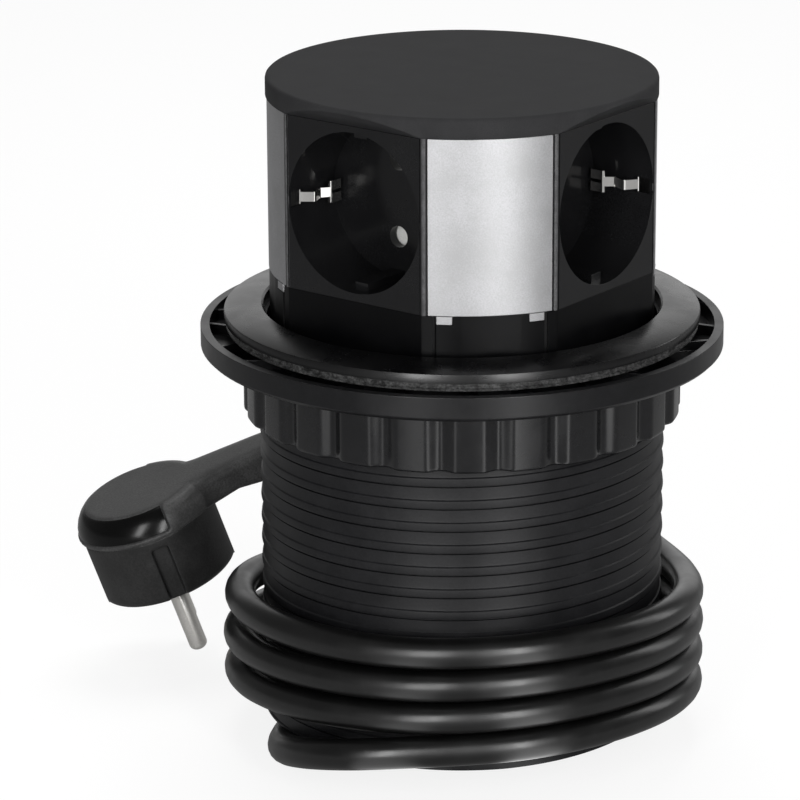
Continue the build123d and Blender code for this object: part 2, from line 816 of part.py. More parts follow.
def boot_blank():
    """The cover over the drum with its tapered neck, before the side band is let in."""
    neck = loft([
        neck_section(neck_root_x, neck_root_w, neck_root_top_w, boot_h, neck_root_aside),
        neck_section(neck_mid_x, neck_mid_w, neck_mid_w, neck_mid_h, neck_mid_aside),
        neck_section(neck_tip_x, neck_tip_w, neck_tip_w, neck_tip_h, 0),
    ], ruled=True)
    return boot_cap(0) + neck


def band_reach(grow):
    """The block that holds the band's strip, grown by a clearance."""
    foot = drum_h + boot_rim_h - grow
    reach = boot_r * math.cos(math.radians(180 - band_half_angle)) + grow
    return Pos(reach - boot_r, 0, 0) * block(2 * boot_r, 3 * boot_r, foot, foot + band_h + 2 * grow)


def plug_cover():
    window = band_reach(0) - boot_cap(band_inset + band_t + bore_gap)
    return plug_place * (boot_blank() - window)


def plug_band():
    strip = boot_cap(band_inset) - boot_cap(band_inset + band_t)
    return plug_place * (strip & band_reach(-bore_gap))


def plug_pins():
    pins = []
    for side in (1, -1):
        pin = rod(plug_pin_r, -plug_pin_len, -plug_pin_stand)
        pin = fillet(pin.edges().filter_by(GeomType.CIRCLE).group_by(Axis.Z)[0], plug_pin_nose)
        pin += rod(plug_pin_root_r, -plug_pin_stand, plug_pin_root)
        pins.append(plug_place * Pos(0, side * pin_offset, 0) * pin)
    return Compound(children=pins)


def plug_earth():
    strips = []
    for side in (1, -1):
        strip = block(plug_earth_t, plug_earth_w, 0, plug_earth_h)
        strips.append(plug_place * Pos(side * (drum_across / 2 - plug_earth_t / 2), 0, 0) * strip)
    return Compound(children=strips)


# Write every piece
put("barrel", barrel())
put("bezel_flange", bezel_flange())
put("seal_ring", seal_ring())
put("bottom_cover", bottom_cover())
put("cover_screws", cover_screws())
put("clamp_ring", clamp_ring())
put("clamp_nut", clamp_nut())
put("tower_base", tower_base())
put("top_cover", top_cover())
put("contact_core", contact_core())
put("live_bar", bus_bar(core_top))
put("neutral_bar", bus_bar(core_foot - bus_t))
put("charger_board", charger_board())
put("charge_coil", tube(charge_outer_r, charge_inner_r, ferrite_foot + ferrite_t, cover_top - top_skin_t))
put("ferrite_sheet", rod(ferrite_r, ferrite_foot, ferrite_foot + ferrite_t))
put("tower_screws", tower_screws())
for side, turn in SIDES.items():
    spot = Rot(0, 0, turn)
    put("socket_" + side, spot * socket_body())
    put("earth_clips_" + side, spot * earth_clips())
    put("contacts_" + side, spot * contacts())
    put("shutter_" + side, spot * shutter())
put("shutter_springs", Compound(children=around(4, shutter_spring())))
for corner, turn in CORNERS.items():
    put("corner_post_" + corner, Rot(0, 0, turn) * corner_post())
    put("panel_" + corner, Rot(0, 0, turn) * panel())
put("cord_gland", cord_gland())
put("cord_lead", cord_lead())
put("cord_coil", cord_coil())
put("cord_rise", cord_rise())
put("plug_drum", plug_drum())
put("plug_cover", plug_cover())
put("plug_band", plug_band())
put("plug_pins", plug_pins())
put("plug_earth", plug_earth())
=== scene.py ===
"""A pop up desk socket: its visible pieces, their finishes, the studio and the camera.

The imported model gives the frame. What is moulded, threaded or wound is modelled here in
millimetres, with heights from the desk line, and lifted to its place when it is handed to the
scene. The sockets face -Y (front), +X (right), +Y (back) and -X (left).
"""

import logging
import math
from collections.abc import Iterable, Sequence
from dataclasses import dataclass
from enum import Enum
from typing import TypeVar

import bmesh
import bpy
from mathutils import Matrix, Vector

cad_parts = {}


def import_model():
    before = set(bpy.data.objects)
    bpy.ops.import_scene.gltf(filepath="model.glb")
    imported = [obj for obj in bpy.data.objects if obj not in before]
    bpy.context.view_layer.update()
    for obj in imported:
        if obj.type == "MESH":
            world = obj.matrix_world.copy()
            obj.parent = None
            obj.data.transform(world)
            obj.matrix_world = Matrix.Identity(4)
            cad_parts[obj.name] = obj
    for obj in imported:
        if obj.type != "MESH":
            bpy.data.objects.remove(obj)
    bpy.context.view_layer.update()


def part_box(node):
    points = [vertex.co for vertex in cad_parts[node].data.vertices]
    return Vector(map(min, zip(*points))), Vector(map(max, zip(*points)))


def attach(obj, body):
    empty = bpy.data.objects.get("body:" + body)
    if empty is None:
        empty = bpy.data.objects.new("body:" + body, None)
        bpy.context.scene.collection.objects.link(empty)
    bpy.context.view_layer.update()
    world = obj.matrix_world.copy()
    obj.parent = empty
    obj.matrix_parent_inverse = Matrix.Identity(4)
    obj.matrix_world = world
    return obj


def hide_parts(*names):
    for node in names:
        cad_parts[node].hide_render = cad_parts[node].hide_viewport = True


log = logging.getLogger("desk_socket")

MM = 0.001
Point = tuple[float, float, float]
Outline = Sequence[tuple[float, float]]
Kind = TypeVar("Kind")

# Noise keeps to the middle of its range. These spans hold nearly all of it, for one noise and for
# two multiplied, and are stretched over a finish's gloss and over its two colours.
NOISE_SPAN = (0.35, 0.65)
BLOTCH_SPAN = (0.15, 0.38)
WHITE = (1.0, 1.0, 1.0, 1.0)


class Side(Enum):
    """The side that a socket faces, with its turn about Z from the front in degrees."""

    FRONT = 0
    RIGHT = 90
    BACK = 180
    LEFT = 270


class Corner(Enum):
    """The corner that a panel covers, with its turn about Z from the first one in degrees."""

    FRONT_RIGHT = 0
    BACK_RIGHT = 90
    BACK_LEFT = 180
    FRONT_LEFT = 270


# Finishes
def linear(code: str) -> tuple[float, float, float, float]:
    """Turn an sRGB hex colour into linear values.

    Args:
        code: Six hex digits, such as "1a1a1b".

    Returns:
        Red, green, blue and an alpha of 1.
    """
    parts = (int(code[i:i + 2], 16) / 255 for i in (0, 2, 4))
    red, green, blue = (
        p / 12.92 if p <= 0.04045 else ((p + 0.055) / 1.055) ** 2.4 for p in parts)
    return red, green, blue, 1.0


def add_node(
    tree: bpy.types.NodeTree,
    kind: str,
    sockets: dict[str | int, object] | None = None,
    **settings: object,
) -> bpy.types.Node:
    """Add a shader node with its settings, values and links.

    Args:
        tree: The tree that the node goes into.
        kind: The node's type.
        sockets: A value, or another node's output to link, for each input by name or place.
        **settings: The node's own properties.

    Returns:
        The new node.
    """
    made = tree.nodes.new(kind)
    for name, value in settings.items():
        setattr(made, name, value)
    for key, value in (sockets or {}).items():
        if isinstance(value, bpy.types.NodeSocket):
            tree.links.new(value, made.inputs[key])
        else:
            made.inputs[key].default_value = value
    return made


def per_metre(size_mm: float) -> float:
    """The noise scale whose features are about this size."""
    return 1 / (size_mm * MM)


@dataclass(frozen=True)
class Finish:
    """A surface: its colour and gloss, how both wander, and the fine relief of how it was made.

    Attributes:
        name: The material's name.
        colour: The darker colour, as sRGB hex.
        fleck: The lighter colour that it wanders towards, as sRGB hex.
        roughness: The least roughness.
        spread: How much rougher it gets from place to place.
        patch_mm: The size of the patches in which colour and gloss wander.
        grain_mm: The size of the fine relief's grains.
        grain_depth_mm: The height of the fine relief.
        metallic: 1 for bare metal.
        specular: Dielectric reflection level.
    """

    name: str
    colour: str
    fleck: str
    roughness: float
    spread: float = 0.08
    patch_mm: float = 9.0
    grain_mm: float = 0.35
    grain_depth_mm: float = 0.012
    metallic: float = 0.0
    specular: float = 0.5

    def build(self) -> bpy.types.Material:
        """Make the material.

        Returns:
            The material, or the one that was made of this finish before.
        """
        found = bpy.data.materials.get(self.name)
        if found:
            return found
        material = bpy.data.materials.new(self.name)
        material.use_nodes = True
        tree = material.node_tree
        tree.nodes.clear()
        place = add_node(tree, "ShaderNodeTexCoord").outputs["Object"]
        patches = add_node(tree, "ShaderNodeTexNoise", {
            "Vector": place, "Scale": per_metre(self.patch_mm), "Detail": 3.0, "Roughness": 0.6})
        grain = add_node(tree, "ShaderNodeTexNoise", {
            "Vector": place, "Scale": per_metre(self.grain_mm), "Detail": 2.0})
        blotch = add_node(tree, "ShaderNodeMath", {
            0: patches.outputs["Fac"], 1: grain.outputs["Fac"]}, operation="MULTIPLY")
        tint = add_node(tree, "ShaderNodeMapRange", {
            "Value": blotch.outputs["Value"],
            "From Min": BLOTCH_SPAN[0], "From Max": BLOTCH_SPAN[1]})
        gloss = add_node(tree, "ShaderNodeMapRange", {
            "Value": patches.outputs["Fac"], "From Min": NOISE_SPAN[0], "From Max": NOISE_SPAN[1],
            "To Min": self.roughness, "To Max": self.roughness + self.spread})
        relief = add_node(tree, "ShaderNodeBump", {
            "Height": grain.outputs["Fac"], "Distance": self.grain_depth_mm * MM})
        shader = add_node(tree, "ShaderNodeBsdfPrincipled", {
            "Base Color": self._mix(tree, tint.outputs["Result"]),
            "Roughness": gloss.outputs["Result"], "Normal": relief.outputs["Normal"],
            "Metallic": self.metallic})
        if not self.metallic:
            shader.inputs["Specular IOR Level"].default_value = self.specular
        add_node(tree, "ShaderNodeOutputMaterial", {"Surface": shader.outputs["BSDF"]})
        return material

    def _mix(self, tree: bpy.types.NodeTree, factor: bpy.types.NodeSocket) -> bpy.types.NodeSocket:
        """Blend the two colours.

        Args:
            tree: The material's nodes.
            factor: The share of the lighter colour.

        Returns:
            The blended colour.
        """
        ramp = add_node(tree, "ShaderNodeValToRGB", {"Fac": factor})
        ramp.color_ramp.elements[0].color = linear(self.colour)
        ramp.color_ramp.elements[1].color = linear(self.fleck)
        return ramp.outputs["Color"]


# Textured black ABS from a spark-eroded mould: a matt skin that kills the sheen at a low angle.
# Here and on the other grained finishes the real grain is under 0.1 mm, drawn coarser to show.
LID_ABS = Finish("textured_abs", "2c2c2d", "333334", 0.6, spread=0.02, grain_mm=0.25,
                 grain_depth_mm=0.010, specular=0.04)
# Moulded ABS of the skirt and posts, less deeply grained: nearly black, with a low sheen.
SKIRT_ABS = Finish("skirt_abs", "040405", "070708", 0.34, grain_mm=0.25, grain_depth_mm=0.006,
                   specular=0.13)
# ABS beads, a lighter grey than the skirt: partly their own grained grey, partly a painted
# highlight along each rounded crest, broken up in small patches.
BEAD_HIGHLIGHT_ABS = Finish("bead_abs", "3a3a3b", "555556", 0.40, patch_mm=2.0, grain_mm=0.3,
                  grain_depth_mm=0.02, specular=0.3)
# ABS of the barrel, with its thread moulded in: dull black, with one soft line on each crest.
BARREL_ABS = Finish("barrel_abs", "0e0e10", "171719", 0.4, grain_mm=0.6, grain_depth_mm=0.010,
                    specular=0.3)
# Polycarbonate of the sockets, from a polished mould: harder and glossier than the ABS round it.
SOCKET_PC = Finish("socket_polycarbonate", "131314", "171718", 0.14, grain_mm=0.5,
                   grain_depth_mm=0.001, specular=0.25)
# Moulded polyamide of the nut: a slightly wavy gloss, in which the lamps and the light painted on
# the floor before them draw a long streak down each lobe.
CLAMP_PA = Finish("clamp_polyamide", "08080a", "0e0e10", 0.22, grain_mm=1.2,
                  grain_depth_mm=0.005, specular=0.5)
# The same polyamide on the clamp ring, a little duller: its wall shines as one even band.
RING_PA = Finish("ring_polyamide", "08080a", "0e0e10", 0.3, grain_mm=1.2, grain_depth_mm=0.005,
                 specular=0.35)
# Moulded ABS of the flange, smoother than the lid: black, with the lamps as soft patches.
FLANGE_ABS = Finish("flange_abs", "060607", "0a0a0b", 0.24, grain_mm=0.3, grain_depth_mm=0.004,
                    specular=0.5)
# Cellular rubber, cut from sheet: open pores that speckle its edge in grey, and no gloss.
SEAL_RUBBER = Finish("cellular_rubber", "161616", "525252", 0.45, patch_mm=1.5, grain_mm=0.5,
                     grain_depth_mm=0.06, specular=0.3)
# PVC sheath of the lead, drawn through a die: smooth, with a soft gloss along each turn.
SHEATH_PVC = Finish("pvc_sheath", "070707", "0c0c0c", 0.28, grain_mm=0.8, grain_depth_mm=0.002,
                    specular=0.6)
# PVC moulded over the plug in a coarsely eroded mould: a grainy dark grey that scatters the light.
PLUG_PVC = Finish("plug_pvc", "303030", "464646", 0.42, grain_mm=0.45, grain_depth_mm=0.04,
                  specular=0.3)
# The plug's body, from a smoother mould: darker than its cover, with a faint sheen at the rim.
DRUM_PVC = Finish("plug_drum_pvc", "202020", "2c2c2c", 0.38, grain_mm=0.5, grain_depth_mm=0.012,
                  specular=0.22)
# Polished plastic strip let into the plug: jet black with one hard highlight.
BAND_GLOSS = Finish("polished_band", "040404", "060606", 0.18, spread=0.05, grain_depth_mm=0.0,
                    specular=0.26)
# Bead-blasted and anodised aluminium: pale, with an even fine sparkle and no mirror image.
PANEL_ALU = Finish("blasted_aluminium", "a8a8a9", "b6b6b8", 0.46, spread=0.03, grain_mm=0.35,
                   grain_depth_mm=0.02, metallic=1.0)
# Nickel plate on rolled spring strip: bright, with narrow glints on the bends.
NICKEL = Finish("nickel_plate", "c0beba", "d6d4d0", 0.15, spread=0.08, grain_mm=0.4,
                grain_depth_mm=0.004, metallic=1.0)
# Nickel plate on tumbled brass pins: paler and softer, without glints.
PIN_NICKEL = Finish("tumbled_nickel", "eceae6", "f6f4f0", 0.55, spread=0.1, grain_mm=0.5,
                    grain_depth_mm=0.01, metallic=1.0)
# Moulded natural nylon of the shutters: milky white and half dull behind the pin holes.
SHUTTER_NYLON = Finish("shutter_nylon", "c9c9c6", "d8d8d5", 0.45, grain_depth_mm=0.004)
# Moulded grey nylon of the contact core: plain and dull.
CORE_NYLON = Finish("core_nylon", "55555a", "66666b", 0.5)
# Brass pressed from bright strip: warm, with soft reflections.
BRASS = Finish("pressed_brass", "b08d4a", "c8a660", 0.28, metallic=1.0, grain_depth_mm=0.004)
# Zinc-plated steel of screws and springs: a cool, slightly clouded grey.
ZINC = Finish("zinc_plated_steel", "9a9a98", "b5b5b2", 0.32, metallic=1.0)
# Solder mask, cured on the charger's board: a glossy dark green.
SOLDER_MASK = Finish("solder_mask", "0f4a22", "176032", 0.3, grain_depth_mm=0.003)
# Enamelled copper wire, wound flat: red-brown, with a relief as coarse as the wire is thick.
ENAMEL_WIRE = Finish("enamelled_copper", "a4522b", "c06a3c", 0.3, metallic=1.0, grain_mm=0.5,
                     grain_depth_mm=0.05)
# Sintered ferrite sheet: dark grey and chalky.
FERRITE = Finish("sintered_ferrite", "2a2a2c", "353537", 0.6)


# Mesh work
def only(kind: type[Kind], made: Iterable[object]) -> list[Kind]:
    """The vertices, edges or faces among what an operator made."""
    return [g for g in made if isinstance(g, kind)]


def moved(outline: Outline, radius: float, height: float) -> list[tuple[float, float]]:
    """An outline taken out to a radius and up to a height."""
    return [(radius + r, height + z) for r, z in outline]


class Workpiece:
    """A mesh in the making, in millimetres from the desk line, and the operators that shape it.

    Attributes:
        lift: The desk line's height above the floor.
        weld: Corners closer than this become one.
        wide_weld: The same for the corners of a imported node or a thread.
        flat_turn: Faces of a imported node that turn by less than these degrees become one.
        near_cut: Corners closer than this to a closed cut are taken to lie in it.
        least_turn: Edges that turn by more than these degrees are sharp enough to round.
    """

    lift: float = 0.0
    weld: float = 0.0005
    wide_weld: float = 0.002
    flat_turn: float = 0.6
    near_cut: float = 0.0001
    least_turn: float = 25.0

    def __init__(self, name: str) -> None:
        """Start an empty mesh for a piece of this name."""
        self.name = name
        self.mesh = bmesh.new()

    @classmethod
    def lathed(
        cls,
        name: str,
        outline: Outline,
        steps: int = 192,
        closed: bool = True,
    ) -> "Workpiece":
        """Turn an outline about Z.

        Args:
            name: The piece's name.
            outline: Radius and height of each corner.
            steps: How many steps make the full turn.
            closed: Whether the outline's last corner joins its first.

        Returns:
            The turned piece.
        """
        piece = cls(name)
        corners = [piece.mesh.verts.new((r, 0, z)) for r, z in outline]
        ends = corners[1:] + corners[:1] if closed else corners[1:]
        lines = [piece.mesh.edges.new(pair) for pair in zip(corners, ends)]
        bmesh.ops.spin(piece.mesh, geom=corners + lines, cent=(0, 0, 0), axis=(0, 0, 1),
                       angle=math.tau, steps=steps, use_merge=True)
        piece.tidy()
        return piece

    @classmethod
    def recast(cls, name: str, node: str) -> "Workpiece":
        """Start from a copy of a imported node, with its corners merged and its flats made whole.

        Args:
            name: The piece's name.
            node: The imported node.

        Returns:
            The copy.
        """
        piece = cls(name)
        mesh = piece.mesh
        mesh.from_mesh(bpy.data.objects[node].data)
        for layer in list(mesh.loops.layers.uv):
            mesh.loops.layers.uv.remove(layer)
        bmesh.ops.remove_doubles(mesh, verts=mesh.verts, dist=cls.wide_weld * MM)
        bmesh.ops.scale(mesh, vec=(1 / MM,) * 3, verts=mesh.verts)
        bmesh.ops.translate(mesh, vec=(0, 0, -cls.lift), verts=mesh.verts)
        bmesh.ops.dissolve_limit(mesh, angle_limit=math.radians(cls.flat_turn),
                                 verts=mesh.verts, edges=mesh.edges)
        return piece

    def tidy(self) -> None:
        """Merge doubles and turn every face outwards."""
        bmesh.ops.remove_doubles(self.mesh, verts=self.mesh.verts, dist=self.weld)
        bmesh.ops.recalc_face_normals(self.mesh, faces=self.mesh.faces)

    def take_in(self, other: "Workpiece") -> None:
        """Move another piece's mesh into this one.

        Args:
            other: The piece that is used up.
        """
        data = bpy.data.meshes.new("part")
        other.mesh.to_mesh(data)
        self.mesh.from_mesh(data)
        bpy.data.meshes.remove(data)
        other.mesh.free()

    def round_edges(self, width: float) -> "Workpiece":
        """Round every sharp edge.

        Args:
            width: The rounding's width.

        Returns:
            The piece itself.
        """
        least = math.radians(self.least_turn)
        sharp = [e for e in self.mesh.edges if e.is_manifold and e.calc_face_angle(0.0) > least]
        bmesh.ops.bevel(self.mesh, geom=sharp, offset=width, offset_type="OFFSET", segments=2,
                        profile=0.5, affect="EDGES", material=-1, clamp_overlap=True)
        return self

    def fuse(self, grain: float, rounds: int) -> "Workpiece":
        """Weld overlapping solids into one skin and soften its edges, as a mould's fillets do.

        Args:
            grain: The size of the new skin's faces.
            rounds: How many times it is smoothed.

        Returns:
            The piece itself.
        """
        data = bpy.data.meshes.new("blank")
        self.mesh.to_mesh(data)
        blank = bpy.data.objects.new("blank", data)
        bpy.context.scene.collection.objects.link(blank)
        weld = blank.modifiers.new("weld", "REMESH")
        weld.mode = "VOXEL"
        weld.voxel_size = grain
        soften = blank.modifiers.new("soften", "SMOOTH")
        soften.factor = 0.5
        soften.iterations = rounds
        graph = bpy.context.evaluated_depsgraph_get()
        welded = bpy.data.meshes.new_from_object(blank.evaluated_get(graph))
        self.mesh.clear()
        self.mesh.from_mesh(welded)
        bpy.data.objects.remove(blank)
        bpy.data.meshes.remove(data)
        bpy.data.meshes.remove(welded)
        return self

    def cut(
        self,
        place: Sequence[float],
        outwards: Sequence[float],
        near: float = 0.0,
    ) -> list[bmesh.types.BMEdge]:
        """Cut the piece by a plane and keep what lies behind it.

        Args:
            place: A point of the plane.
            outwards: The plane's normal, towards what goes.
            near: Corners closer than this to the plane are taken to lie in it.

        Returns:
            The edges in the plane.
        """
        everything = [*self.mesh.verts, *self.mesh.edges, *self.mesh.faces]
        made = bmesh.ops.bisect_plane(self.mesh, geom=everything, dist=near, plane_co=place,
                                      plane_no=outwards, clear_outer=True)
        return only(bmesh.types.BMEdge, made["geom_cut"])

    def keep_side(self, place: Sequence[float], outwards: Sequence[float]) -> None:
        """Cut the piece by a plane, keep what lies behind it and close the cut."""
        rim = [e for e in self.cut(place, outwards, self.near_cut) if e.is_boundary]
        bmesh.ops.holes_fill(self.mesh, edges=rim)

    def finish(
        self,
        finish: Finish,
        body: str,
        slot: str,
        replaces: Iterable[str] = (),
        smooth: float = 15.0,
    ) -> bpy.types.Object:
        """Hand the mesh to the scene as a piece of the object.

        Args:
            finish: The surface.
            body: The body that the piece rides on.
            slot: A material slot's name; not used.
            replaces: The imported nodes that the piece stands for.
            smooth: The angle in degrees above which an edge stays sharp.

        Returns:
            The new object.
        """
        bmesh.ops.translate(self.mesh, vec=(0, 0, self.lift), verts=self.mesh.verts)
        bmesh.ops.scale(self.mesh, vec=(MM, MM, MM), verts=self.mesh.verts)
        data = bpy.data.meshes.new(self.name)
        self.mesh.to_mesh(data)
        self.mesh.free()
        data.shade_smooth()
        data.set_sharp_from_angle(angle=math.radians(smooth))
        data.materials.append(finish.build())
        made = bpy.data.objects.new(self.name, data)
        bpy.context.scene.collection.objects.link(made)
        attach(made, body)
        nodes = list(replaces)
        if nodes:
            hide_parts(*nodes)
        log.info("%s: %d faces", self.name, len(data.polygons))
        return made


def dress(node: str, finish: Finish) -> None:
    """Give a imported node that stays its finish.

    Args:
        node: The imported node.
        finish: The surface.
    """
    data = bpy.data.objects[node].data
    data.materials.clear()
    data.materials.append(finish.build())
    log.info("%s: %s", node, finish.name)


# Housing
@dataclass(frozen=True)
class Housing:
    """The barrel with its thread, the bezel flange, the seal and the cover under the barrel.

    The thread is each of its corners' radius and share of a pitch, from the groove upwards. The
    flange's edge and dome and the seal's ribs are steps from the corner that they lie at.
    """

    bore_r: float = 48.0
    foot: float = -98.6
    top: float = 2.1
    pitch: float = 5.6
    thread: Outline = (
        (49.45, 0.0), (48.9, 0.01), (48.9, 0.1), (49.95, 0.115), (50.0, 0.16), (49.84, 0.42),
        (49.55, 0.47), (49.5, 0.52))
    spare_turns: int = 2
    steps: int = 192
    flange_r: float = 58.45
    flange_hole_r: float = 48.8
    flange_edge_top: float = 4.3
    flange_top: float = 5.6
    flange_edge: Outline = ((0.0, -0.5), (-0.15, -0.15), (-0.6, 0.0))
    flange_dome: Outline = ((5.5, -0.45), (2.2, -0.06), (0.5, 0.0), (0.0, -0.4))
    seal_r: float = 58.0
    seal_hole_r: float = 50.2
    seal_ribs: Outline = (
        (-0.1, 0.0), (0.0, 0.12), (0.0, 0.5), (-0.45, 0.75), (-0.45, 1.7), (-0.1, 1.85),
        (-0.1, 2.1))

    def barrel(self) -> None:
        """The barrel's wall, with its one-start thread wound round the outside.

        The thread's outline is wound past both ends and cut there, and the round bore is drawn
        between the cuts.
        """
        piece = Workpiece("barrel_shell")
        turns = math.ceil((self.top - self.foot) / self.pitch) + self.spare_turns + 1
        foot = self.foot - self.spare_turns * self.pitch
        corners = [piece.mesh.verts.new((r, 0, foot + self.pitch * i + share * self.pitch))
                   for i in range(turns) for r, share in self.thread]
        lines = [piece.mesh.edges.new(pair) for pair in zip(corners, corners[1:])]
        bmesh.ops.spin(piece.mesh, geom=corners + lines, cent=(0, 0, 0), axis=(0, 0, 1),
                       dvec=(0, 0, self.pitch / self.steps), angle=math.tau, steps=self.steps)
        bmesh.ops.remove_doubles(piece.mesh, verts=piece.mesh.verts, dist=piece.wide_weld)
        rims = []
        for height, facing in ((self.top, 1), (self.foot, -1)):
            rim = piece.cut((0, 0, height), (0, 0, facing))
            grown = bmesh.ops.extrude_edge_only(piece.mesh, edges=rim)["geom"]
            for vert in only(bmesh.types.BMVert, grown):
                vert.co.xy = vert.co.xy.normalized() * self.bore_r
            rims += [e for e in only(bmesh.types.BMEdge, grown) if e.is_boundary]
        bmesh.ops.bridge_loops(piece.mesh, edges=rims)
        piece.tidy()
        piece.finish(BARREL_ABS, "housing", "matt_black_plastic", ["barrel"], smooth=24.0)

    def flange(self) -> None:
        """The domed ring on the desk, with a raised lip round the hole."""
        piece = Workpiece.lathed("bezel_ring", [
            (self.flange_hole_r, self.top),
            (self.flange_r, self.top),
            *moved(self.flange_edge, self.flange_r, self.flange_edge_top),
            *moved(self.flange_dome, self.flange_hole_r, self.flange_top),
        ])
        piece.finish(FLANGE_ABS, "housing", "satin_black_plastic", ["bezel_flange"], smooth=40.0)

    def seal(self) -> None:
        """The ribbed seal under the flange."""
        piece = Workpiece.lathed("ribbed_seal", [
            (self.seal_hole_r, 0.0),
            *moved(self.seal_ribs, self.seal_r, 0.0),
            (self.seal_hole_r, self.top),
        ])
        piece.finish(SEAL_RUBBER, "housing", "black_rubber", ["seal_ring"], smooth=32.0)

    def build(self) -> None:
        """Model and dress the housing."""
        self.barrel()
        self.flange()
        self.seal()
        dress("bottom_cover", BARREL_ABS)
        dress("cover_screws", ZINC)


# Clamp under the desk
@dataclass(frozen=True)
class Clamp:
    """The ring that presses on the desk from below, and the scalloped nut that drives it."""

    lobes: int = 24
    lobe_steps: int = 30
    first_hollow: float = 1.1
    hollow_share: float = 0.55
    crest_r: float = 53.9
    hollow_depth: float = 1.6
    nut_bore_r: float = 50.35
    nut_top: float = -5.7
    nut_foot: float = -21.8
    nut_round: float = 1.2
    rim_turn: float = 60.0
    ring_edge: float = 0.25

    def lobe_radius(self, share: float) -> float:
        """The nut's radius at a share of the way from one lobe's middle to the next.

        Args:
            share: From 0 to 1.

        Returns:
            The radius: flat lobes with rounded edges, and a round hollow between them.
        """
        off = abs(share - 0.5) / (self.hollow_share / 2)
        if off >= 1:
            return self.crest_r
        return self.crest_r - self.hollow_depth * (0.5 + 0.5 * math.cos(math.pi * off))

    def nut(self) -> None:
        """The nut, drawn from its plan and rounded along its foot."""
        piece = Workpiece("scalloped_nut")
        count = self.lobes * self.lobe_steps
        start = math.radians(self.first_hollow - 180 / self.lobes)
        foot = Matrix.Translation((0, 0, self.nut_foot))
        bmesh.ops.create_circle(piece.mesh, segments=count, radius=self.crest_r, matrix=foot)
        for vert in piece.mesh.verts:
            lobe = (math.atan2(vert.co.y, vert.co.x) - start) / math.tau * self.lobes
            share = self.lobe_radius(lobe % 1.0) / self.crest_r
            vert.co.xy = vert.co.xy * share
        outer = list(piece.mesh.edges)
        bore = bmesh.ops.create_circle(piece.mesh, segments=count, radius=self.nut_bore_r,
                                       matrix=foot)["verts"]
        inner = list({e for v in bore for e in v.link_edges})
        bmesh.ops.bridge_loops(piece.mesh, edges=outer + inner)
        walls = bmesh.ops.extrude_face_region(piece.mesh, geom=list(piece.mesh.faces))["geom"]
        bmesh.ops.translate(piece.mesh, vec=(0, 0, self.nut_top - self.nut_foot),
                            verts=only(bmesh.types.BMVert, walls))
        piece.tidy()
        halfway_r = (self.nut_bore_r + self.crest_r - self.hollow_depth) / 2
        halfway_up = (self.nut_foot + self.nut_top) / 2
        rim = [e for e in piece.mesh.edges
               if e.calc_face_angle(0.0) > math.radians(self.rim_turn)
               and all(v.co.xy.length > halfway_r and v.co.z < halfway_up for v in e.verts)]
        bmesh.ops.bevel(piece.mesh, geom=rim, offset=self.nut_round, offset_type="OFFSET",
                        segments=4, profile=0.5, affect="EDGES", material=-1, clamp_overlap=False)
        piece.finish(CLAMP_PA, "clamp_nut", "satin_black_plastic", ["clamp_nut"], smooth=50.0)

    def ring(self) -> None:
        """The ring with its raised rim, recast with soft edges."""
        piece = Workpiece.recast("clamp_cup", "clamp_ring").round_edges(self.ring_edge)
        piece.finish(RING_PA, "clamp_ring", "satin_black_plastic", ["clamp_ring"])

    def build(self) -> None:
        """Model and dress the clamp."""
        self.ring()
        self.nut()


